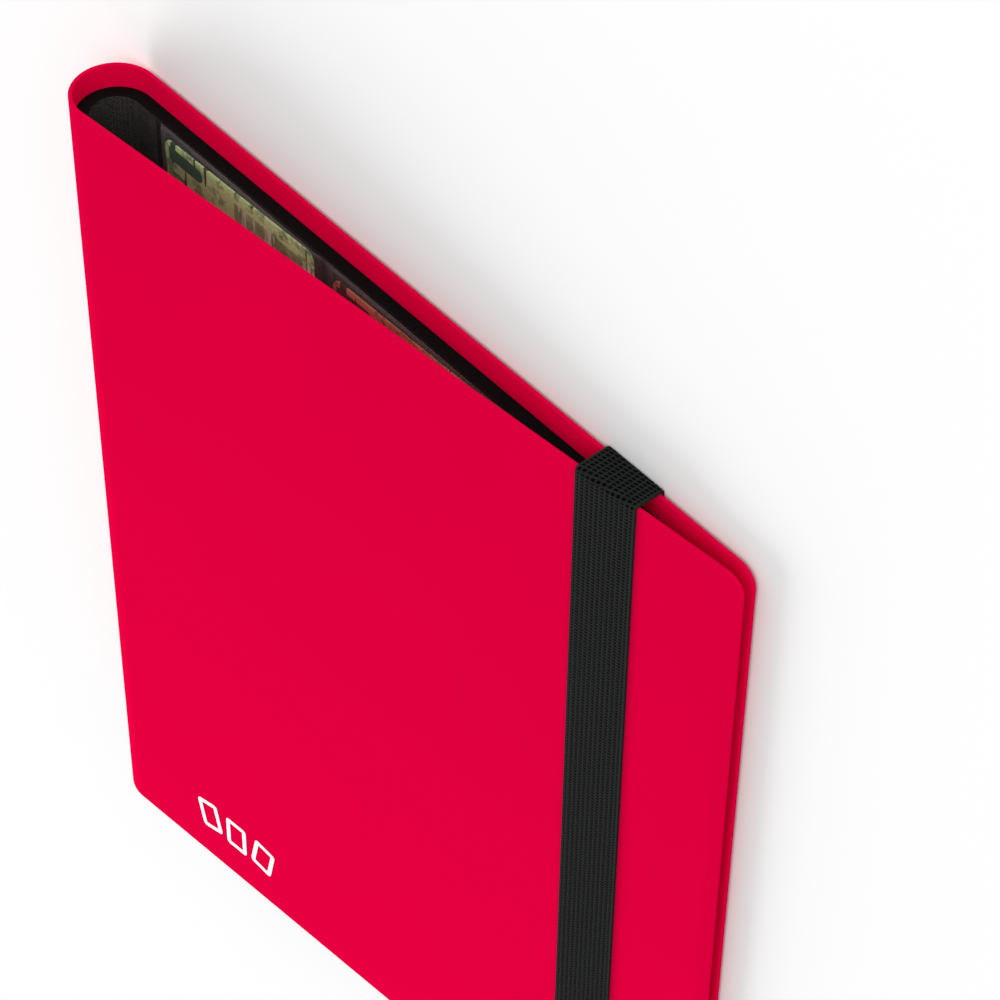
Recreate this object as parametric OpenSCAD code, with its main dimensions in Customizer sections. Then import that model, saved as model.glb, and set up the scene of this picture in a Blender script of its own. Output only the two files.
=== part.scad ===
// Trading card binder: one folded sheet as covers and spine, pocket leaves and an elastic strap.
// It lies on its back cover. +X runs from the spine to the fore-edge, +Y to the top, +Z up.
// All sizes are in millimetres.

/* [Cover] */
// Height of the covers, from the bottom edge to the top edge
cover_h = 300; // [240:1:360]
// Length of each cover from the spine curve to the fore-edge
cover_len = 245.3; // [225:0.1:300]
// Thickness of the cover sheet
sheet_t = 1.2; // [0.8:0.1:1.4]
// Outer radius of the rounded spine
spine_r = 12.95; // [12:0.05:16]
// Angle by which the front cover falls towards the fore-edge
wedge = 4.82; // [3.5:0.01:4.9]
// Radius of the corners at the fore-edge
corner_r = 6; // [2:0.5:14]

/* [Leaves] */
// Length of a leaf from the end of the spine curve to its fore-edge
leaf_len = 228; // [150:1:229]
// How far the leaves stop short of the covers at the top and at the bottom
leaf_inset = 7.8; // [6.5:0.1:20]
// Distance from one leaf to the next
leaf_pitch = 0.39; // [0.36:0.01:0.41]
// Thickness of a leaf's black backing
backing_t = 0.19; // [0.1:0.01:0.2]
// Thickness of a clear pocket film
film_t = 0.07; // [0.04:0.01:0.07]
// Thickness of the black strip that binds the leaves along the spine
bind_t = 4.1; // [4.1:0.1:4.6]
// Length of the strip's end on the front cover
bind_tab = 10; // [4:0.5:14]

/* [Pockets] */
// Distance from the end of the spine curve to the first card
first_card = 12.3; // [10:0.1:14]
// Distance from one column of pockets to the next
pocket_pitch = 74.2; // [70:0.1:74.5]
// Width of a sleeved card
card_w = 66; // [60:0.5:67]
// Height of a sleeved card
card_h = 91; // [80:0.5:92]
// Thickness of a sleeved card
card_t = 0.5; // [0.3:0.05:0.6]
// Turn of the first card in its pocket
card_turn_1 = 2; // [0:0.1:2]
// Turn of the second card in its pocket
card_turn_2 = 1.5; // [0:0.1:2]

/* [Strap] */
// Width of the elastic strap
strap_w = 20.6; // [12:0.1:26]
// Thickness of the elastic strap
strap_t = 1; // [0.6:0.1:1.2]
// Distance from the end of the spine curve to the middle of the strap
strap_pos = 200.2; // [170:0.1:205]
// Gap between the strap and the edges of the covers
strap_gap = 0.3; // [0.1:0.1:0.6]

/* [Hidden] */
$fn = 96;
leaf_count = 10;
film_gap = 0.02;
hinge_clear = 8;
bind_end = 7.6;
card_clear = 0.02;
card_gap = 1;
card_corner = 3;
card_drop = 1.2;
slack_x = 5.4;
slack_y = 5.1;
weld_w = 2.4;
slit_w = 0.3;
pocket_rows = 3;
pocket_cols = 3;
tail_len = 14;
edge_short = 0.3;
run_rise = 0.1;
cut = 5;
full_x = spine_r + spine_r * sin(wedge) + cover_len * cos(wedge);
xc = spine_r - full_x / 2;
zc = strap_t + spine_r;
arc_end = 90 - wedge;
arc_quarter = (270 - arc_end) / 4;
inner_r = spine_r - sheet_t;
bind_r = inner_r - bind_t;
floor_z = strap_t + sheet_t;
back_end = full_x - spine_r - edge_short;
leaf_h = cover_h - 2 * leaf_inset;
film_len = leaf_len - first_card + weld_w;
film_x = xc + first_card - weld_w;
row_h = (leaf_h - weld_w) / pocket_rows;
card_y = leaf_h / 2 - weld_w - card_drop - card_h / 2;
top_leaf_z = floor_z + leaf_pitch * (leaf_count - 1);
backing_top = top_leaf_z + film_t + film_gap + backing_t;
card_z = backing_top + card_clear;
strap_x = xc + strap_pos;
leg_y = cover_h / 2 + strap_gap;
run_u = (strap_pos - spine_r * sin(wedge)) / cos(wedge);
front_z = zc + spine_r * cos(wedge);
red = [0.78, 0.0, 0.13];
black = [0.05, 0.05, 0.055];
clear = [0.8, 0.82, 0.85, 0.35];

// A sheet from x = 0 to len, with rounded corners at its far end, standing on z = 0.
module cover_sheet(len) {
    linear_extrude(height = sheet_t)
        union() {
            translate([0, -cover_h / 2])
                square([len - corner_r, cover_h]);
            translate([0, -cover_h / 2 + corner_r])
                square([len, cover_h - 2 * corner_r]);
            for (side = [-1, 1])
                translate([len - corner_r, side * (cover_h / 2 - corner_r)])
                    circle(r = corner_r);
        }
}

// A quarter of the curved spine between two radii, counted from the back cover.
module spine_arc(index, r_out, r_in, len) {
    from = 270 - arc_quarter * index;
    to = from - arc_quarter;
    far = 2 * r_out;
    translate([xc, 0, zc])
        rotate([90, 0, 0])
            linear_extrude(height = len, center = true)
                intersection() {
                    difference() {
                        circle(r = r_out);
                        circle(r = r_in);
                    }
                    polygon([
                        [0, 0],
                        [far * cos(from), far * sin(from)],
                        [far * cos(to), far * sin(to)]
                    ]);
                }
}

// Moves its children from the front cover's own plane, whose outer face is at z = 0, to the row.
module on_front() {
    translate([xc, 0, zc])
        rotate([0, wedge, 0])
            translate([0, 0, spine_r])
                children();
}

module back_cover() {
    color(red)
        translate([xc, 0, strap_t])
            cover_sheet(back_end);
}

module front_cover() {
    color(red)
        on_front()
            translate([0, 0, -sheet_t])
                cover_sheet(cover_len);
}

module bind_back() {
    color(black)
        translate([xc, -leaf_h / 2, floor_z])
            cube([bind_end, leaf_h, bind_t]);
}

module bind_front() {
    color(black)
        on_front()
            translate([0, -leaf_h / 2, -sheet_t - bind_t])
                cube([bind_tab, leaf_h, bind_t]);
}

module spine_part(index) {
    color(red)
        spine_arc(index, spine_r, inner_r, cover_h);
}

module bind_part(index) {
    color(black)
        spine_arc(index, inner_r, bind_r, leaf_h);
}

// The underside of a leaf, counted from the top one down.
function leaf_z(index) = top_leaf_z - leaf_pitch * (index - 1);

module leaf(index) {
    color(black)
        translate([xc + hinge_clear, -leaf_h / 2, leaf_z(index) + film_t + film_gap / 2])
            cube([leaf_len - hinge_clear, leaf_h, backing_t]);
}

// The clear pocket film on one face of a leaf, with a slit at the mouth of each pocket.
module film_face(z) {
    translate([film_x, -leaf_h / 2, z])
        difference() {
            cube([film_len, leaf_h, film_t]);
            for (col = [0 : pocket_cols - 1], row = [0 : pocket_rows - 1])
                translate([weld_w / 2 + col * pocket_pitch, weld_w + row * row_h, -cut / 2])
                    cube([slit_w, row_h - weld_w, cut]);
        }
}

// A box around the card in one column, wider than the card by the film's slack.
module card_box(col, grow, z, top) {
    size_x = card_w + slack_x + grow;
    size_y = card_h + slack_y + grow;
    translate([xc + first_card + pocket_pitch * col + card_gap + card_w / 2, card_y, (z + top) / 2])
        cube([size_x, size_y, top - z], center = true);
}

// The top leaf's upper film: flat but for two low lids that are open underneath, over the cards.
module raised_film() {
    lid_z = card_z + card_t + card_clear;
    difference() {
        union() {
            film_face(backing_top);
            for (col = [0, 1])
                card_box(col, 2 * film_t, backing_top, lid_z + film_t);
        }
        for (col = [0, 1])
            card_box(col, 0, backing_top - cut, lid_z);
    }
}

module film(index) {
    color(clear) {
        film_face(leaf_z(index));
        if (index == 1)
            raised_film();
        else
            film_face(leaf_z(index) + film_t + film_gap + backing_t);
    }
}

module card(col, turn) {
    color([0.72, 0.66, 0.38])
        translate([xc + first_card + pocket_pitch * col + card_gap + card_w / 2, card_y, card_z])
            rotate([0, 0, turn])
                linear_extrude(height = card_t)
                    union() {
                        square([card_w - 2 * card_corner, card_h], center = true);
                        square([card_w, card_h - 2 * card_corner], center = true);
                        for (sx = [-1, 1], sy = [-1, 1])
                            translate([
                                sx * (card_w / 2 - card_corner),
                                sy * (card_h / 2 - card_corner)
                            ])
                                circle(r = card_corner);
                    }
}

// A strap end, welded flat under the back cover.
module strap_tail(side) {
    reach = tail_len + strap_gap + strap_t;
    color(black)
        translate([strap_x - strap_w / 2, side > 0 ? cover_h / 2 - tail_len : -leg_y - strap_t, 0])
            cube([strap_w, reach, strap_t]);
}

// The strap over the front cover and down past the edges of both covers.
module strap_band() {
    leg_top = front_z - strap_pos * tan(wedge);
    color(black) {
        on_front()
            translate([run_u - strap_w / 2, -leg_y - strap_t, run_rise])
                cube([strap_w, 2 * (leg_y + strap_t), strap_t]);
        difference() {
            for (side = [-1, 1])
                translate([strap_x, side * (leg_y + strap_t / 2), strap_t + leg_top / 2])
                    cube([strap_w, strap_t, leg_top], center = true);
            on_front()
                translate([run_u - strap_w, -cover_h, run_rise + strap_t / 2])
                    cube([2 * strap_w, 2 * cover_h, cut]);
        }
    }
}

back_cover();
spine_part(0);  // spine_back
spine_part(1);  // spine_mid_back
spine_part(2);  // spine_mid_front
spine_part(3);  // spine_front
front_cover();
bind_back();
bind_part(0);  // bind_curve_back
bind_part(1);  // bind_mid_back
bind_part(2);  // bind_mid_front
bind_part(3);  // bind_curve_front
bind_front();
leaf(1);  // leaf_01
leaf(2);  // leaf_02
leaf(3);  // leaf_03
leaf(4);  // leaf_04
leaf(5);  // leaf_05
leaf(6);  // leaf_06
leaf(7);  // leaf_07
leaf(8);  // leaf_08
leaf(9);  // leaf_09
leaf(10);  // leaf_10
film(1);  // film_01
film(2);  // film_02
film(3);  // film_03
film(4);  // film_04
film(5);  // film_05
film(6);  // film_06
film(7);  // film_07
film(8);  // film_08
film(9);  // film_09
film(10);  // film_10
card(0, card_turn_1);  // card_1
card(1, card_turn_2);  // card_2
strap_tail(1);  // strap_tail_top
strap_tail(-1);  // strap_tail_bottom
strap_band();
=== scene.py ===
import math

import bmesh
import bpy
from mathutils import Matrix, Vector


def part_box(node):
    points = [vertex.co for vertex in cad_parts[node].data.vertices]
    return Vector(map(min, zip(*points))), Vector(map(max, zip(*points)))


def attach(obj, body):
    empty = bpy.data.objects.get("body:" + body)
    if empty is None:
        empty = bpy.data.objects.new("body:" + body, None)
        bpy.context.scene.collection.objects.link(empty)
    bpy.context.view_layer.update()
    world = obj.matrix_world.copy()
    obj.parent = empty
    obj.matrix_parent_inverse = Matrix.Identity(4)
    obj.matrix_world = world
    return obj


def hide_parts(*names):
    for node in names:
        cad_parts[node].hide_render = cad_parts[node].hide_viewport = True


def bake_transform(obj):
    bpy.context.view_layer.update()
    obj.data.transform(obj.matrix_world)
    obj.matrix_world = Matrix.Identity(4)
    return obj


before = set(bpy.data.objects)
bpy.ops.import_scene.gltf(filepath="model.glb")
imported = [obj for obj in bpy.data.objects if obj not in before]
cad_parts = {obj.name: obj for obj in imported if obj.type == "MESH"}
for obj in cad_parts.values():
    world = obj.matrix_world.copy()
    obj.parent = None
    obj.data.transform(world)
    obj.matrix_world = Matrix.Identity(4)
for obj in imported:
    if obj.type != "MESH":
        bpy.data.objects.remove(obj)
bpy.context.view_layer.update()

# Looks of a trading card binder. All sizes are in metres, in the frame's own axes:
# +X runs from the spine to the fore-edge, +Y to the top and +Z up.

# Covers, spine and the strip inside the spine
back_lo, back_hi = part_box("back_cover")
HINGE_X = back_lo.x
HALF_H = back_hi.y
SHEET = back_hi.z - back_lo.z
SPINE_R = 0.01295
AXIS_Z = back_lo.z + SPINE_R
WEDGE = math.radians(4.82)
HALF_ARC = math.radians((180 + 4.82) / 2)
COVER_LEN = 0.2453
CORNER = 0.006
INNER_R = SPINE_R - SHEET
BIND_T = 0.0041
BIND_R = INNER_R - BIND_T
BACK_TAB = 0.0076
FRONT_TAB = 0.010
SPINE_AXIS = (HINGE_X, 0, AXIS_Z)

# Leaves, films and cards
LEAF_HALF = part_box("leaf_01")[1].y
LEAF_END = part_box("leaf_01")[1].x
LEAF_T = 0.00022
LEAF_PITCH = 0.00039
LEAF_COUNT = 10
LEAF_CORNER = 0.003
LIP_W = 0.0009
LIP_SWELL = 1.65
NECK = 0.008
FILM_T = 0.00007
FILM_SHORT = 0.0011
FILM_RISE = 0.00054
RISE_MARGIN = 0.0006
RISE_SLOPE = 0.0026
CARD_T = 0.0005
CARD_W = 0.066
CARD_H = 0.091
CARD_CORNER = 0.003
POCKET = 0.0742
FIRST_CARD = HINGE_X + 0.0123
WELD = 0.0024
SLIT_W = 0.0003

# Strap
tail_lo, tail_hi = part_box("strap_tail_top")
STRAP_W = tail_hi.x - tail_lo.x
STRAP_X = (tail_hi.x + tail_lo.x) / 2
STRAP_T = 0.0008
LEG_Y = tail_hi.y - 0.0005
TAIL_Y = tail_lo.y
THREAD = 0.00177
PICK = 0.0012
SLANT = 1.5
STRAP_ROWS = 800
STRAP_LOW = 0.0005
PIT_DEPTH = 0.00012
PAD_INSET = 0.0014
PAD_T = 0.0002
PAD_HALF = 0.0012

# Printed mark
MARK_X = HINGE_X + 0.0472
MARK_Y = -0.1292
MARK_SIZE = (0.0092, 0.0128)
MARK_STEP = 0.0125
MARK_LINE = 0.0017

TINY = 0.00002


# ---------------------------------------------------------------- hand tools

def deselect():
    if bpy.context.object and bpy.context.object.mode != "OBJECT":
        bpy.ops.object.mode_set(mode="OBJECT")
    bpy.ops.object.select_all(action="DESELECT")


def activate(obj):
    deselect()
    obj.select_set(True)
    bpy.context.view_layer.objects.active = obj


def named(name):
    obj = bpy.context.active_object
    obj.name = name
    obj.data.name = name
    return obj


def set_place():
    bpy.ops.object.transform_apply(location=True, rotation=True, scale=True)


def block(name, lo, hi):
    """A block between two corners, the start of a flat piece."""
    deselect()
    middle = [(a + b) / 2 for a, b in zip(lo, hi)]
    bpy.ops.mesh.primitive_cube_add(size=1, location=middle)
    obj = named(name)
    obj.scale = [b - a for a, b in zip(lo, hi)]
    set_place()
    return obj


def upright_sheet(name, x, z, height, half_y):
    """A flat rectangle that faces along X, the start of a piece that is drawn out along the sheet."""
    deselect()
    bpy.ops.mesh.primitive_plane_add(size=1, location=(x, 0, z), rotation=(0, math.pi / 2, 0))
    obj = named(name)
    obj.scale = (height, 2 * half_y, 1)
    set_place()
    return obj


def pick(obj, kind, test):
    """Goes into edit mode with only those vertices, edges or faces selected that pass the test."""
    activate(obj)
    bpy.ops.object.mode_set(mode="EDIT")
    bpy.ops.mesh.select_mode(type=kind)
    bpy.ops.mesh.select_all(action="DESELECT")
    mesh = bmesh.from_edit_mesh(obj.data)
    group = {"VERT": mesh.verts, "EDGE": mesh.edges, "FACE": mesh.faces}[kind]
    mesh.normal_update()
    count = 0
    for item in group:
        if test(item):
            item.select_set(True)
            count += 1
    mesh.select_flush_mode()
    bmesh.update_edit_mesh(obj.data)
    return count


def middle_of(edge):
    return (edge.verts[0].co + edge.verts[1].co) / 2


def draw_out(step):
    bpy.ops.mesh.extrude_region_move(TRANSFORM_OT_translate={"value": step})


def round_corners(obj, x, half_y, radius, segments):
    """Rounds the two upright corners at one end of a sheet."""
    pick(obj, "EDGE", lambda e: abs(middle_of(e).x - x) < TINY
         and abs(abs(middle_of(e).y) - half_y) < TINY
         and abs((e.verts[0].co - e.verts[1].co).y) < TINY)
    bpy.ops.mesh.bevel(offset=radius, segments=segments, affect="EDGES")


def soften_rim(obj, size, keep=lambda point: False):
    """Breaks every sharp edge, except where two halves of one sheet meet."""
    pick(obj, "EDGE", lambda e: len(e.link_faces) == 2 and e.calc_face_angle(0) > 0.9
         and not keep(middle_of(e)))
    bpy.ops.mesh.bevel(offset=size, segments=2, affect="EDGES")


def outward(obj):
    activate(obj)
    bpy.ops.object.mode_set(mode="EDIT")
    bpy.ops.mesh.select_all(action="SELECT")
    bpy.ops.mesh.remove_doubles(threshold=0.000001)
    bpy.ops.mesh.normals_make_consistent(inside=False)
    bpy.ops.object.mode_set(mode="OBJECT")


def smooth(obj, degrees=30):
    activate(obj)
    bpy.ops.object.shade_smooth_by_angle(angle=math.radians(degrees))


def turn(obj, axis, angle, center):
    """Turns a piece by the right-hand rule about a point, in its mesh."""
    activate(obj)
    bpy.ops.object.mode_set(mode="EDIT")
    bpy.ops.mesh.select_all(action="SELECT")
    bpy.ops.transform.rotate(value=-angle, orient_axis=axis, center_override=center)
    bpy.ops.object.mode_set(mode="OBJECT")


def use(obj, name, **settings):
    """Adds a modifier and applies it."""
    activate(obj)
    modifier = obj.modifiers.new(name.title(), name)
    for key, value in settings.items():
        setattr(modifier, key, value)
    bpy.ops.object.modifier_apply(modifier=modifier.name)


def cut_out(obj, cutter):
    use(obj, "BOOLEAN", object=cutter, operation="DIFFERENCE", solver="EXACT")
    bpy.data.objects.remove(cutter)


def joined(pieces):
    deselect()
    for piece in pieces:
        piece.select_set(True)
    bpy.context.view_layer.objects.active = pieces[0]
    bpy.ops.object.join()
    return pieces[0]


def copy_of(obj, name, shift):
    """A copy with its own mesh, moved by shift."""
    twin = obj.copy()
    twin.data = obj.data.copy()
    twin.name = name
    twin.data.name = name
    bpy.context.scene.collection.objects.link(twin)
    activate(twin)
    bpy.ops.transform.translate(value=shift)
    set_place()
    return twin


def finish_piece(obj, slot, *materials):
    obj.data.materials.clear()
    for material in materials:
        obj.data.materials.append(material)


# ---------------------------------------------------------------- finishes

class Finish:
    """A material and short ways to add its nodes."""

    def __init__(self, name, color, roughness, specular=0.5):
        self.material = bpy.data.materials.new(name)
        self.material.use_nodes = True
        self.nodes = self.material.node_tree.nodes
        self.shader = self.nodes["Principled BSDF"]
        self.shader.inputs["Base Color"].default_value = (*color, 1)
        self.shader.inputs["Roughness"].default_value = roughness
        self.shader.inputs["Specular IOR Level"].default_value = specular

    def link(self, a, b):
        self.material.node_tree.links.new(a, b)

    def place(self, scale=(1, 1, 1), turned=0.0, uv=False, move=(0, 0, 0)):
        coords = self.nodes.new("ShaderNodeTexCoord")
        mapping = self.nodes.new("ShaderNodeMapping")
        mapping.inputs["Scale"].default_value = scale
        mapping.inputs["Rotation"].default_value = (0, 0, turned)
        mapping.inputs["Location"].default_value = move
        self.link(coords.outputs["UV" if uv else "Object"], mapping.inputs["Vector"])
        return mapping.outputs["Vector"]

    def noise(self, where, scale, detail=3.0, rough=0.5):
        node = self.nodes.new("ShaderNodeTexNoise")
        node.inputs["Scale"].default_value = scale
        node.inputs["Detail"].default_value = detail
        node.inputs["Roughness"].default_value = rough
        self.link(where, node.inputs["Vector"])
        return node.outputs["Fac"]

    def cells(self, where, scale):
        node = self.nodes.new("ShaderNodeTexVoronoi")
        node.inputs["Scale"].default_value = scale
        node.inputs["Randomness"].default_value = 0.35
        self.link(where, node.inputs["Vector"])
        return node.outputs["Distance"]

    def sum(self, kind, a, b=None, c=None):
        node = self.nodes.new("ShaderNodeMath")
        node.operation = kind
        for socket, value in zip(node.inputs, (a, b, c)):
            if value is None:
                continue
            if isinstance(value, (int, float)):
                socket.default_value = value
            else:
                self.link(value, socket)
        return node.outputs["Value"]

    def split(self, where):
        node = self.nodes.new("ShaderNodeSeparateXYZ")
        self.link(where, node.inputs["Vector"])
        return node.outputs

    def ramp(self, value, stops):
        node = self.nodes.new("ShaderNodeValToRGB")
        band = node.color_ramp
        while len(band.elements) < len(stops):
            band.elements.new(0.5)
        for element, (place, color) in zip(band.elements, stops):
            element.position = place
            element.color = (*color, 1)
        self.link(value, node.inputs["Fac"])
        return node.outputs["Color"]

    def between(self, value, low, high):
        node = self.nodes.new("ShaderNodeMapRange")
        node.inputs["To Min"].default_value = low
        node.inputs["To Max"].default_value = high
        self.link(value, node.inputs["Value"])
        return node.outputs["Result"]

    def blend(self, share, a, b):
        node = self.nodes.new("ShaderNodeMix")
        node.data_type = "RGBA"
        for socket, value in ((node.inputs[0], share), (node.inputs[6], a), (node.inputs[7], b)):
            if isinstance(value, tuple):
                socket.default_value = (*value, 1)
            else:
                self.link(value, socket)
        return node.outputs[2]

    def color(self, value):
        self.link(value, self.shader.inputs["Base Color"])

    def roughness(self, value):
        self.link(value, self.shader.inputs["Roughness"])

    def bump(self, height, distance, strength=1.0):
        node = self.nodes.new("ShaderNodeBump")
        node.inputs["Distance"].default_value = distance
        node.inputs["Strength"].default_value = strength
        self.link(height, node.inputs["Height"])
        self.link(node.outputs["Normal"], self.shader.inputs["Normal"])


def red_sheet():
    """Matte coloured polypropylene, with a fine moulded grain and a faint cloudiness."""
    f = Finish("red_sheet", (0.71, 0.0, 0.046), 0.6, 0.0)
    where = f.place()
    grain = f.noise(where, 2600, 2)
    cloud = f.noise(where, 22, 3)
    f.color(f.ramp(cloud, [(0.3, (0.705, 0.0, 0.0455)), (0.7, (0.718, 0.0, 0.0465))]))
    f.roughness(f.between(f.noise(where, 60, 4), 0.48, 0.62))
    f.bump(grain, 0.00002, 0.5)
    return f.material


def black_edge():
    """Smooth black plastic of the strip's ends, with fine saw lines."""
    f = Finish("black_edge", (0.005, 0.005, 0.0055), 0.5, 0.03)
    where = f.place(scale=(900, 900, 6000))
    lines = f.noise(where, 1, 2)
    f.color(f.ramp(lines, [(0.3, (0.003, 0.003, 0.0033)), (0.7, (0.007, 0.007, 0.0075))]))
    f.roughness(f.between(lines, 0.42, 0.6))
    f.bump(lines, 0.00002, 0.5)
    return f.material


def black_embossed():
    """Black leaf backing with a fine woven emboss. Its colour is painted darker in the emboss hollows
    as painted shade and lighter on its ridges as painted highlight, with a random cloudy tone.
    """
    f = Finish("black_embossed", (0.015, 0.015, 0.0145), 0.6, 0.1)
    weave = f.cells(f.place(turned=0.6), 1350)
    where = f.place()
    cloud = f.noise(where, 700, 3)
    height = f.sum("ADD", f.sum("MULTIPLY", weave, 0.9), f.sum("MULTIPLY", cloud, 0.25))
    # Painted shade and highlight: the colour follows the emboss height, dark in the hollows and lighter
    # on the ridges. The cloud noise adds a random tone.
    f.color(f.ramp(height, [(0.25, (0.009, 0.0095, 0.0095)), (0.7, (0.042, 0.043, 0.039))]))
    f.roughness(f.between(cloud, 0.5, 0.7))
    f.bump(height, 0.00008, 0.7)
    return f.material


def clear_film(rim):
    """Clear pocket film. It is milky along the welds between its pockets."""
    f = Finish("clear_film", (0.5, 0.52, 0.54), 0.1, 0.5)
    where = f.split(f.place(move=(-rim[0], -rim[1], 0)))
    column = f.sum("PINGPONG", where[0], POCKET / 2)
    row = f.sum("PINGPONG", where[1], rim[2] / 2)
    near = f.sum("MINIMUM", column, row)
    weld = f.sum("LESS_THAN", near, WELD / 2)
    ripple = f.noise(f.place(), 28, 2)
    f.link(f.sum("ADD", f.sum("MULTIPLY", weld, 0.06), 0.06), f.shader.inputs["Alpha"])
    ribs = f.sum("SINE", f.sum("MULTIPLY", f.sum("ADD", where[0], where[1]), math.tau * 1400))
    f.bump(f.sum("ADD", ripple, f.sum("MULTIPLY", f.sum("MULTIPLY", ribs, weld), 0.15)), 0.0004, 0.4)
    f.roughness(f.between(f.noise(f.place(), 300, 2), 0.08, 0.18))
    return f.material


def card_print(name, lo, light, dark, title):
    """A generic printed card: painted foliage, pale blades, a blank panel and a title plate."""
    f = Finish(name, light, 0.35, 0.2)
    x, y, _ = f.split(f.place(scale=(1 / CARD_W, 1 / CARD_H, 1),
                              move=(-lo[0] / CARD_W, -lo[1] / CARD_H, 0)))

    def shade(share):
        return tuple(share * c for c in light)

    def inside(left, right, low, high):
        across = f.sum("MULTIPLY", f.sum("GREATER_THAN", x, left), f.sum("LESS_THAN", x, right))
        up = f.sum("MULTIPLY", f.sum("GREATER_THAN", y, low), f.sum("LESS_THAN", y, high))
        return f.sum("MULTIPLY", across, up)

    def strokes(turned, broad, low):
        """Brush strokes at one slant, as a mask."""
        brush = f.noise(f.place(scale=(broad, 45, broad), turned=turned), 1, 2, 0.4)
        return f.sum("GREATER_THAN", brush, low)

    clouds = f.noise(f.place(), 240, 5, 0.65)
    painted = f.ramp(clouds, [(0.3, dark), (0.42, shade(0.55)), (0.52, light), (0.62, shade(0.8)),
                              (0.7, tuple(min(1.0, 1.3 * c) for c in light))])
    branches = f.blend(strokes(0.7, 330, 0.62), painted, tuple(0.35 * c for c in dark))
    dusk = f.ramp(clouds, [(0.35, tuple(0.8 * c for c in dark)), (0.5, shade(0.42)),
                           (0.65, shade(0.6))])
    blades = f.blend(strokes(-0.45, 420, 0.57), dusk, tuple(0.45 + 0.45 * c for c in light))
    blades = f.blend(strokes(0.35, 420, 0.58), blades, tuple(0.3 + 0.4 * c for c in light))
    picture = f.blend(inside(0.45, 1, 0.42, 0.955), branches, blades)
    panel = f.blend(inside(0.06, 0.94, 0.06, 0.38), picture, tuple(0.45 + 0.3 * c for c in light))
    plate = f.sum("MAXIMUM", inside(0.005, 0.2, 0.915, 0.968), round_end(f, x, y, 0.2, 0.9415))
    f.color(f.blend(plate, panel, title))
    f.roughness(f.between(clouds, 0.25, 0.4))
    f.bump(f.noise(f.place(), 2000, 2), 0.00001, 0.4)
    return f.material


def round_end(f, x, y, at_x, at_y):
    """The round end of a card's title plate."""
    across = f.sum("MULTIPLY", f.sum("SUBTRACT", x, at_x), CARD_W / CARD_H)
    up = f.sum("SUBTRACT", y, at_y)
    away = f.sum("ADD", f.sum("MULTIPLY", across, across), f.sum("MULTIPLY", up, up))
    return f.sum("LESS_THAN", away, 0.0265 ** 2)


def woven_elastic(across, along):
    """Black woven elastic, with a tight selvedge at each side. Its colour is painted near black in the
    pits between its threads as painted shade, and lighter where the threads rise.
    """
    f = Finish("woven_elastic", (0.014, 0.0145, 0.0145), 0.8, 0.01)
    u, v, _ = f.split(f.place(uv=True, scale=(across, along, 1)))
    side = f.sum("ABSOLUTE", f.sum("SUBTRACT", u, across / 2))
    gap = f.between(f.sum("COSINE", f.sum("MULTIPLY", u, math.tau)), 0.5, 0.0)
    gap = f.sum("POWER", f.sum("MULTIPLY", gap, 2.0), 1.5)
    rise = f.sum("ADD", f.sum("MULTIPLY", v, math.tau), f.sum("MULTIPLY", u, SLANT))
    pits = f.sum("MULTIPLY", gap, f.sum("MULTIPLY", f.sum("SUBTRACT", 1.0, f.sum("COSINE", rise)), 0.5))
    fibres = f.noise(f.place(uv=True, scale=(across * 8, along * 1.5, 1)), 1, 2)
    twist = f.sum("SINE", f.sum("ADD", f.sum("MULTIPLY", u, math.tau * 2),
                                f.sum("MULTIPLY", v, math.tau * 3)))
    height = f.sum("SUBTRACT", f.sum("ADD", f.sum("MULTIPLY", fibres, 0.3),
                                     f.sum("ADD", 0.62, f.sum("MULTIPLY", twist, 0.16))),
                   f.sum("MULTIPLY", pits, 0.62))
    # Painted shade: the colour follows the weave's height, near black in the pits between threads and
    # lighter where threads rise. The fibres and twist add the thread's own tone.
    cloth_with_painted_pit_shade = f.ramp(height, [(0.25, (0.001, 0.001, 0.001)), (0.6, (0.011, 0.0115, 0.0115)),
                            (0.95, (0.027, 0.028, 0.028))])
    selvedge = f.sum("GREATER_THAN", side, across / 2 - 0.4)
    f.color(f.blend(selvedge, cloth_with_painted_pit_shade, (0.019, 0.021, 0.0205)))
    f.bump(height, 0.00018, 0.8)
    return f.material


def white_print():
    """White screen print, slightly thin and broken at the grain."""
    f = Finish("white_print", (0.92, 0.92, 0.92), 0.5, 0.3)
    grain = f.noise(f.place(), 1800, 2)
    f.color(f.ramp(grain, [(0.25, (0.86, 0.84, 0.85)), (0.5, (0.93, 0.93, 0.93))]))
    f.bump(grain, 0.00002, 0.5)
    return f.material


def pale_floor():
    f = Finish("pale_floor", (0.905, 0.905, 0.905), 0.9, 0.0)
    cloud = f.noise(f.place(), 3, 2)
    f.color(f.ramp(cloud, [(0.3, (0.902, 0.902, 0.902)), (0.7, (0.908, 0.908, 0.908))]))
    return f.material


# ---------------------------------------------------------------- covers and strip

def cut_plane(point):
    """True on the radial plane where the two halves of the spine meet."""
    angle = math.radians(270) - HALF_ARC
    x, z = point.x - HINGE_X, point.z - AXIS_Z
    return x < 0 and abs(x * math.sin(angle) - z * math.cos(angle)) < TINY * 3


def arc_half(name, r_out, r_in, half_y, plate):
    """A flat plate that runs into half of the spine's curve, lying as the back cover does."""
    obj = upright_sheet(name, HINGE_X, AXIS_Z - (r_out + r_in) / 2, r_out - r_in, half_y)
    bpy.ops.object.mode_set(mode="EDIT")
    bpy.ops.mesh.select_all(action="SELECT")
    draw_out((plate, 0, 0))
    pick(obj, "FACE", lambda face: abs(face.calc_center_median().x - HINGE_X) < TINY)
    bpy.ops.mesh.spin(steps=72, angle=-HALF_ARC, center=SPINE_AXIS, axis=(0, 1, 0))
    outward(obj)
    return obj


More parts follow.
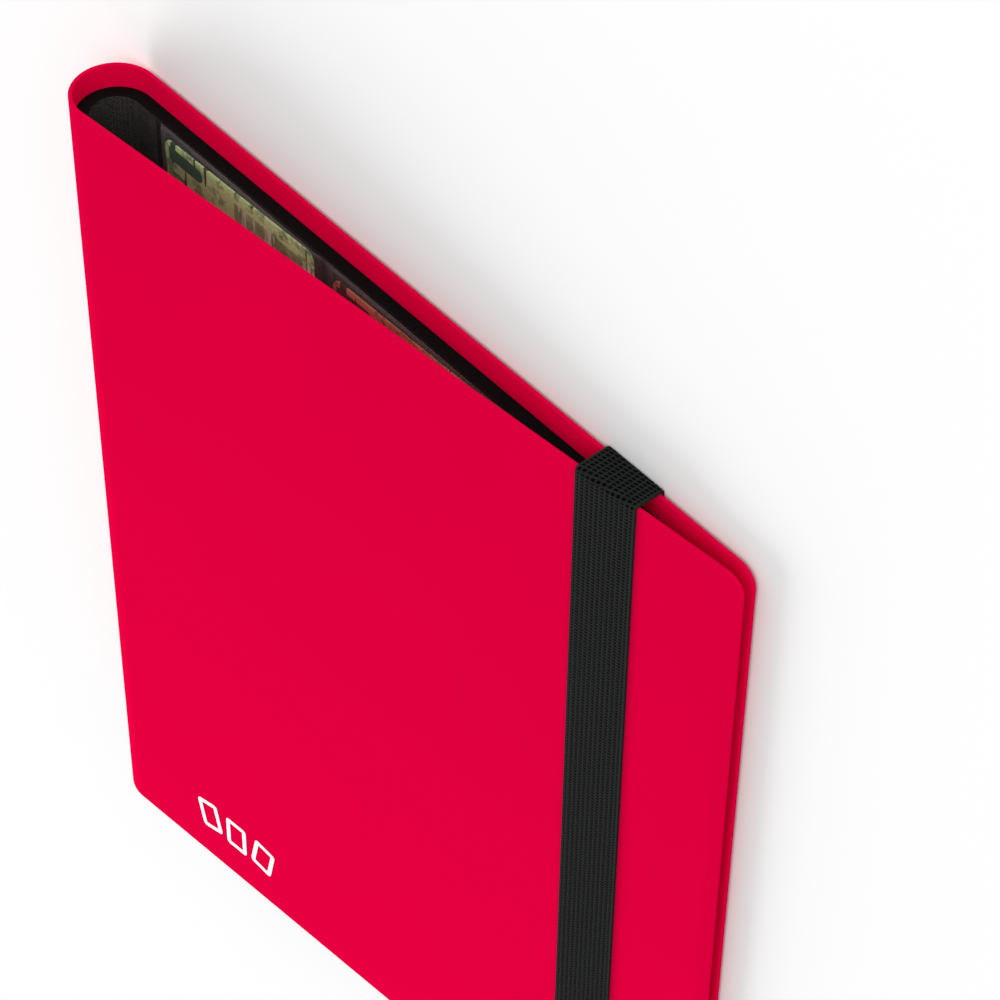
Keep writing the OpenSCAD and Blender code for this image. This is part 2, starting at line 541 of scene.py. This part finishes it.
def over_to_front(obj):
    """Turns a half that lies as the back cover does over to the front cover's place."""
    turn(obj, "X", math.pi, SPINE_AXIS)
    turn(obj, "Y", WEDGE, SPINE_AXIS)
    outward(obj)


def bend(obj):
    """Bakes a half's placement into its mesh."""
    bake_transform(obj)


def make_covers(red):
    for name, front, plate in (("cover_back_skin", False, back_hi.x - HINGE_X),
                               ("cover_front_skin", True, COVER_LEN)):
        skin = arc_half(name, SPINE_R, INNER_R, HALF_H, plate)
        round_corners(skin, HINGE_X + plate, HALF_H, CORNER, 8)
        soften_rim(skin, 0.00015, cut_plane)
        bpy.ops.object.mode_set(mode="OBJECT")
        if front:
            over_to_front(skin)
        smooth(skin)
        finish_piece(skin, "red_sheet", red)
        bend(skin)
    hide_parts("back_cover", "spine_back", "spine_mid_back")
    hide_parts("front_cover", "spine_front",
                "spine_mid_front")


def make_strip(edge, embossed):
    for name, front, plate in (("strip_back", False, BACK_TAB), ("strip_front", True, FRONT_TAB)):
        strip = arc_half(name, INNER_R, BIND_R, LEAF_HALF, plate)
        soften_rim(strip, 0.0001, cut_plane)
        bpy.ops.object.mode_set(mode="OBJECT")
        if front:
            over_to_front(strip)
        smooth(strip)
        finish_piece(strip, "black_sheet", edge, embossed)
        for face in strip.data.polygons:
            face.material_index = 0 if abs(face.normal.y) > 0.3 else 1
        bend(strip)
    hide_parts("bind_back", "bind_curve_back", "bind_mid_back")
    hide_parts("bind_front", "bind_curve_front",
                "bind_mid_front")


# ---------------------------------------------------------------- leaves, films and cards

def leaf_base(index):
    """The underside of a leaf's backing, counted from the top leaf down."""
    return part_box("leaf_%02d" % index)[0].z


def make_leaf(edge, embossed):
    """The top leaf's backing: a straight neck beside the strip, drawn out in short steps, then the flat
    leaf.
    """
    low = leaf_base(1) - 0.00001
    half = LEAF_HALF - 0.0001
    leaf = upright_sheet("leaf_01_backing", HINGE_X + 0.0005, low + LEAF_T / 2, LEAF_T, half)
    bpy.ops.object.mode_set(mode="EDIT")
    bpy.ops.mesh.select_all(action="SELECT")
    steps = 14
    for _ in range(steps):
        draw_out(((NECK - 0.0005) / steps, 0, 0))
    draw_out((LEAF_END - HINGE_X - NECK, 0, 0))
    outward(leaf)
    for side in (-1, 1):
        bpy.ops.object.mode_set(mode="EDIT")
        bpy.ops.mesh.select_all(action="SELECT")
        bpy.ops.mesh.bisect(plane_co=(0, side * (half - LIP_W), 0), plane_no=(0, 1, 0))
        pick(leaf, "VERT", lambda v: v.co.y * side > half - TINY)
        bpy.ops.transform.resize(value=(1, 1, LIP_SWELL), center_override=(0, 0, low + LEAF_T / 2))
        bpy.ops.object.mode_set(mode="OBJECT")
    round_corners(leaf, LEAF_END, half, LEAF_CORNER, 5)
    bpy.ops.object.mode_set(mode="OBJECT")
    smooth(leaf)
    finish_piece(leaf, "black_sheet", edge, embossed)
    for face in leaf.data.polygons:
        face.material_index = 1 if abs(face.normal.z) > 0.5 else 0
    return leaf


def slit_cutter():
    """Blocks where each pocket's mouth is slit."""
    row = (2 * LEAF_HALF - WELD) / 3
    slits = []
    for column in range(3):
        for step in range(3):
            x = FIRST_CARD - WELD / 2 + column * POCKET
            y = -LEAF_HALF + WELD + step * row
            slits.append(block("slit", (x, y, 0), (x + SLIT_W, y + row - WELD, 0.012)))
    return joined(slits)


def film_sheet(name, z):
    lo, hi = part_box("film_02")
    half = LEAF_HALF - FILM_SHORT
    sheet = block(name, (lo.x, -half, z), (hi.x - FILM_SHORT, half, z + FILM_T))
    round_corners(sheet, hi.x - FILM_SHORT, half, LEAF_CORNER, 5)
    bpy.ops.object.mode_set(mode="OBJECT")
    return sheet


def card_lift(x, y, cards):
    """How far the film is raised over the cards, from 0 to 1."""
    lift = 0.0
    for cx, cy, turned in cards:
        dx, dy = x - cx, y - cy
        across = abs(dx * math.cos(turned) + dy * math.sin(turned)) - CARD_W / 2
        up = abs(dy * math.cos(turned) - dx * math.sin(turned)) - CARD_H / 2
        away = max(across, up, 0.0)
        share = min(1.0, max(0.0, 1.0 - (away - RISE_MARGIN) / RISE_SLOPE))
        lift = max(lift, share * share * (3 - 2 * share))
    return lift


def raised_sheet(name, z, cards):
    """The top leaf's upper film, drawn up over its two cards."""
    lo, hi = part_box("film_02")
    deselect()
    bpy.ops.mesh.primitive_grid_add(x_subdivisions=150, y_subdivisions=190, size=1,
                                    location=((lo.x + hi.x - FILM_SHORT) / 2, 0, z + FILM_T / 2))
    sheet = named(name)
    sheet.scale = (hi.x - FILM_SHORT - lo.x, hi.y - lo.y - 2 * FILM_SHORT, 1)
    set_place()
    for vertex in sheet.data.vertices:
        vertex.co.z += FILM_RISE * card_lift(vertex.co.x, vertex.co.y, cards)
    use(sheet, "SOLIDIFY", thickness=FILM_T, offset=0)
    outward(sheet)
    return sheet


def make_leaves(edge, embossed, film):
    lo1, hi1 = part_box("card_1")
    lo2, hi2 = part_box("card_2")
    cards = [((lo1.x + hi1.x) / 2, (lo1.y + hi1.y) / 2, math.radians(2)),
             ((lo2.x + hi2.x) / 2, (lo2.y + hi2.y) / 2, math.radians(1.5))]
    leaf = make_leaf(edge, embossed)
    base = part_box("film_02")[0].z
    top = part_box("film_02")[1].z - FILM_T
    pair = joined([film_sheet("leaf_02_film", base), film_sheet("leaf_02_film_top", top)])
    slits = slit_cutter()
    slits_again = copy_of(slits, "slits_again", (0, 0, 0))
    cut_out(pair, slits)
    smooth(pair)
    finish_piece(pair, "clear_film", film)
    first = joined([film_sheet("leaf_01_film", base + LEAF_PITCH),
                    raised_sheet("leaf_01_film_top", top + LEAF_PITCH, cards)])
    cut_out(first, slits_again)
    smooth(first, 40)
    finish_piece(first, "clear_film", film)
    for index in range(1, LEAF_COUNT + 1):
        body = "leaf_%02d" % index
        drop = (0, 0, -LEAF_PITCH * (index - 1))
        backing = leaf if index == 1 else copy_of(leaf, body + "_backing", drop)
        if index < 3:
            sheet = (first, pair)[index - 1]
        else:
            sheet = copy_of(pair, body + "_film", (0, 0, -LEAF_PITCH * (index - 2)))
        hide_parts(body)
        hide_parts("film_%02d" % index)
        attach(sheet, body)
    for index in range(1, LEAF_COUNT + 1):
        body = "leaf_%02d" % index
        backing = bpy.data.objects[body + "_backing"]
        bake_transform(backing)


def make_card(number, turned, light, dark, title):
    lo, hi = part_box("card_%d" % number)
    cx, cy = (lo.x + hi.x) / 2, (lo.y + hi.y) / 2
    card = block("card_%d_print" % number, (cx - CARD_W / 2, cy - CARD_H / 2, lo.z),
                 (cx + CARD_W / 2, cy + CARD_H / 2, lo.z + CARD_T))
    pick(card, "EDGE", lambda e: abs((e.verts[0].co - e.verts[1].co).z) > TINY)
    bpy.ops.mesh.bevel(offset=CARD_CORNER, segments=7, affect="EDGES")
    soften_rim(card, 0.00008)
    bpy.ops.object.mode_set(mode="OBJECT")
    turn(card, "Z", math.radians(turned), (cx, cy, 0))
    outward(card)
    smooth(card)
    finish_piece(card, "card", card_print("card_%d_print" % number,
                                          (cx - CARD_W / 2, cy - CARD_H / 2), light, dark, title))
    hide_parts("card_%d" % number)
    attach(card, "leaf_01")


# ---------------------------------------------------------------- strap

def front_face(x):
    """Height of the front cover's outer face."""
    return (AXIS_Z + SPINE_R * math.cos(WEDGE)
            - (x - HINGE_X - SPINE_R * math.sin(WEDGE)) * math.tan(WEDGE))


def strap_route(top):
    """Points (y, z) along the middle of the strap, with a rounded bend at every corner."""
    corners = [(TAIL_Y, STRAP_LOW), (LEG_Y, STRAP_LOW), (LEG_Y, top)]
    corners = corners + [(-y, z) for y, z in reversed(corners)]
    radii = [0, 0.0007, 0.0009, 0.0009, 0.0007, 0]
    points = [corners[0]]
    for before, here, after, radius in zip(corners, corners[1:], corners[2:], radii[1:]):
        here_v = Vector(here)
        into = (here_v - Vector(before)).normalized()
        out = (Vector(after) - here_v).normalized()
        start = here_v - into * radius
        for step in range(7):
            a = math.radians(90 * step / 6)
            point = start + into * radius * math.sin(a) + out * radius * (1 - math.cos(a))
            points.append(tuple(point))
    points.append(corners[-1])
    return points


def along_route(points, count):
    """Even steps along a route, each with its place and its outward side."""
    lengths = [0.0]
    for a, b in zip(points, points[1:]):
        lengths.append(lengths[-1] + math.dist(a, b))
    total = lengths[-1]
    places, piece = [], 0
    for step in range(count + 1):
        s = total * step / count
        while piece < len(points) - 2 and lengths[piece + 1] < s:
            piece += 1
        share = (s - lengths[piece]) / (lengths[piece + 1] - lengths[piece])
        a, b = Vector(points[piece]), Vector(points[piece + 1])
        way = (b - a).normalized()
        places.append((a + share * (b - a), Vector((-way.y, way.x))))
    return places, total


def make_strap(weld_finish):
    top = front_face(STRAP_X) + 0.0001 + 0.0005
    places, total = along_route(strap_route(top), STRAP_ROWS)
    threads, picks = round(STRAP_W / THREAD), round(total / PICK)
    columns = threads * 4
    deselect()
    bpy.ops.mesh.primitive_grid_add(x_subdivisions=columns, y_subdivisions=STRAP_ROWS, size=1)
    strap = named("strap_webbing")
    for vertex in strap.data.vertices:
        across, along = vertex.co.x + 0.5, vertex.co.y + 0.5
        place, side = places[round(along * STRAP_ROWS)]
        x = STRAP_X + (across - 0.5) * (STRAP_W - 0.0002)
        dip = (0.5 - 0.5 * math.cos(math.tau * across * threads)) ** 2
        dip *= 0.5 - 0.5 * math.cos(math.tau * along * picks + across * threads * SLANT)
        inner = min(1.0, max(0.0, (0.5 - abs(across - 0.5)) * threads * 2 - 0.6))
        lift = -PIT_DEPTH * dip * inner
        share = min(1.0, max(0.0, (place.y - 0.0006) / (top - 0.0006)))
        tilt = -(x - STRAP_X) * math.tan(WEDGE) * share
        vertex.co = (x, place.x + lift * side.x, place.y + lift * side.y + tilt)
    use(strap, "SOLIDIFY", thickness=STRAP_T, offset=0)
    outward(strap)
    smooth(strap, 60)
    finish_piece(strap, "elastic", woven_elastic(threads, picks))
    for name, side in (("strap_weld_top", 1), ("strap_weld_bottom", -1)):
        middle, half = side * (TAIL_Y + 0.003), STRAP_W / 2 - PAD_INSET
        weld = block(name, (STRAP_X - half, middle - PAD_HALF, 0.0),
                     (STRAP_X + half, middle + PAD_HALF, PAD_T))
        pick(weld, "EDGE", lambda e: abs((e.verts[0].co - e.verts[1].co).z) > TINY)
        bpy.ops.mesh.bevel(offset=0.0008, segments=5, affect="EDGES")
        pick(weld, "EDGE", lambda e: middle_of(e).z < TINY)
        bpy.ops.mesh.bevel(offset=0.00009, segments=2, affect="EDGES")
        bpy.ops.object.mode_set(mode="OBJECT")
        smooth(weld)
        finish_piece(weld, "elastic", weld_finish)
        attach(weld, "back_cover")
    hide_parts("strap_band", "strap_tail_top", "strap_tail_bottom")
    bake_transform(strap)


# ---------------------------------------------------------------- mark on the front cover

def make_mark(finish):
    """Three small card outlines printed near the lower corner, fanned like a hand of cards."""
    for number, (step, lean) in enumerate(((-1, 12), (0, 0), (1, -12)), 1):
        middle = (MARK_X + step * MARK_STEP, MARK_Y, 0)
        deselect()
        bpy.ops.mesh.primitive_plane_add(size=1, location=middle)
        card = named("mark_card_%d" % number)
        card.scale = (*MARK_SIZE, 1)
        set_place()
        bpy.ops.object.mode_set(mode="EDIT")
        bpy.ops.mesh.select_mode(type="VERT")
        bpy.ops.mesh.select_all(action="SELECT")
        bpy.ops.mesh.bevel(offset=0.0014, segments=5, affect="VERTICES")
        bpy.ops.mesh.select_mode(type="FACE")
        bpy.ops.mesh.select_all(action="SELECT")
        bpy.ops.mesh.inset(thickness=MARK_LINE)
        bpy.ops.mesh.delete(type="FACE")
        bpy.ops.object.mode_set(mode="OBJECT")
        use(card, "SOLIDIFY", thickness=0.00005, offset=1)
        turn(card, "Z", math.radians(lean), middle)
        activate(card)
        bpy.ops.transform.translate(value=(0, 0, AXIS_Z + SPINE_R + 0.000005))
        set_place()
        turn(card, "Y", WEDGE, SPINE_AXIS)
        outward(card)
        finish_piece(card, "red_sheet", finish)
        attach(card, "front_cover")


# ---------------------------------------------------------------- stage

def make_stage():
    deselect()
    bpy.ops.mesh.primitive_plane_add(size=8, location=(0, 0, -0.00005))
    floor = named("floor")
    set_place()
    floor.data.materials.append(pale_floor())
    world = bpy.data.worlds.new("studio")
    world.use_nodes = True
    world.node_tree.nodes["Background"].inputs["Color"].default_value = (1, 1, 1, 1)
    world.node_tree.nodes["Background"].inputs["Strength"].default_value = 0.59
    bpy.context.scene.world = world
    for name, energy, angle, way in (("key", 4.2, 40, (0.66, 0.7, -0.18)),
                                     ("fill", 1.4, 55, (-0.5, -0.68, -0.58))):
        light = bpy.data.lights.new(name, "SUN")
        light.energy = energy
        light.angle = math.radians(angle)
        lamp = bpy.data.objects.new(name, light)
        lamp.rotation_euler = Vector(way).to_track_quat("-Z", "Y").to_euler()
        bpy.context.scene.collection.objects.link(lamp)
    view = bpy.data.cameras.new("camera")
    view.lens = 134.094
    view.sensor_width = 36
    camera = bpy.data.objects.new("camera", view)
    camera.location = (0.54468, 0.82699, 0.45259)
    camera.rotation_euler = [math.radians(a) for a in (-46.1229, 49.2652, 1.0165)]
    bpy.context.scene.collection.objects.link(camera)
    bpy.context.scene.camera = camera
    bpy.context.scene.view_settings.view_transform = "Standard"


red, edge, embossed = red_sheet(), black_edge(), black_embossed()
make_covers(red)
make_strip(edge, embossed)
film_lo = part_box("film_02")[0]
make_leaves(edge, embossed, clear_film((film_lo.x + WELD / 2, -LEAF_HALF + WELD / 2,
                                        (2 * LEAF_HALF - WELD) / 3)))
make_card(1, 2, (0.66, 0.98, 0.42), (0.08, 0.26, 0.09), (0.02, 0.13, 0.06))
make_card(2, 1.5, (0.8, 0.25, 0.14), (0.2, 0.04, 0.03), (0.1, 0.02, 0.02))
make_strap(edge)
make_mark(white_print())
make_stage()
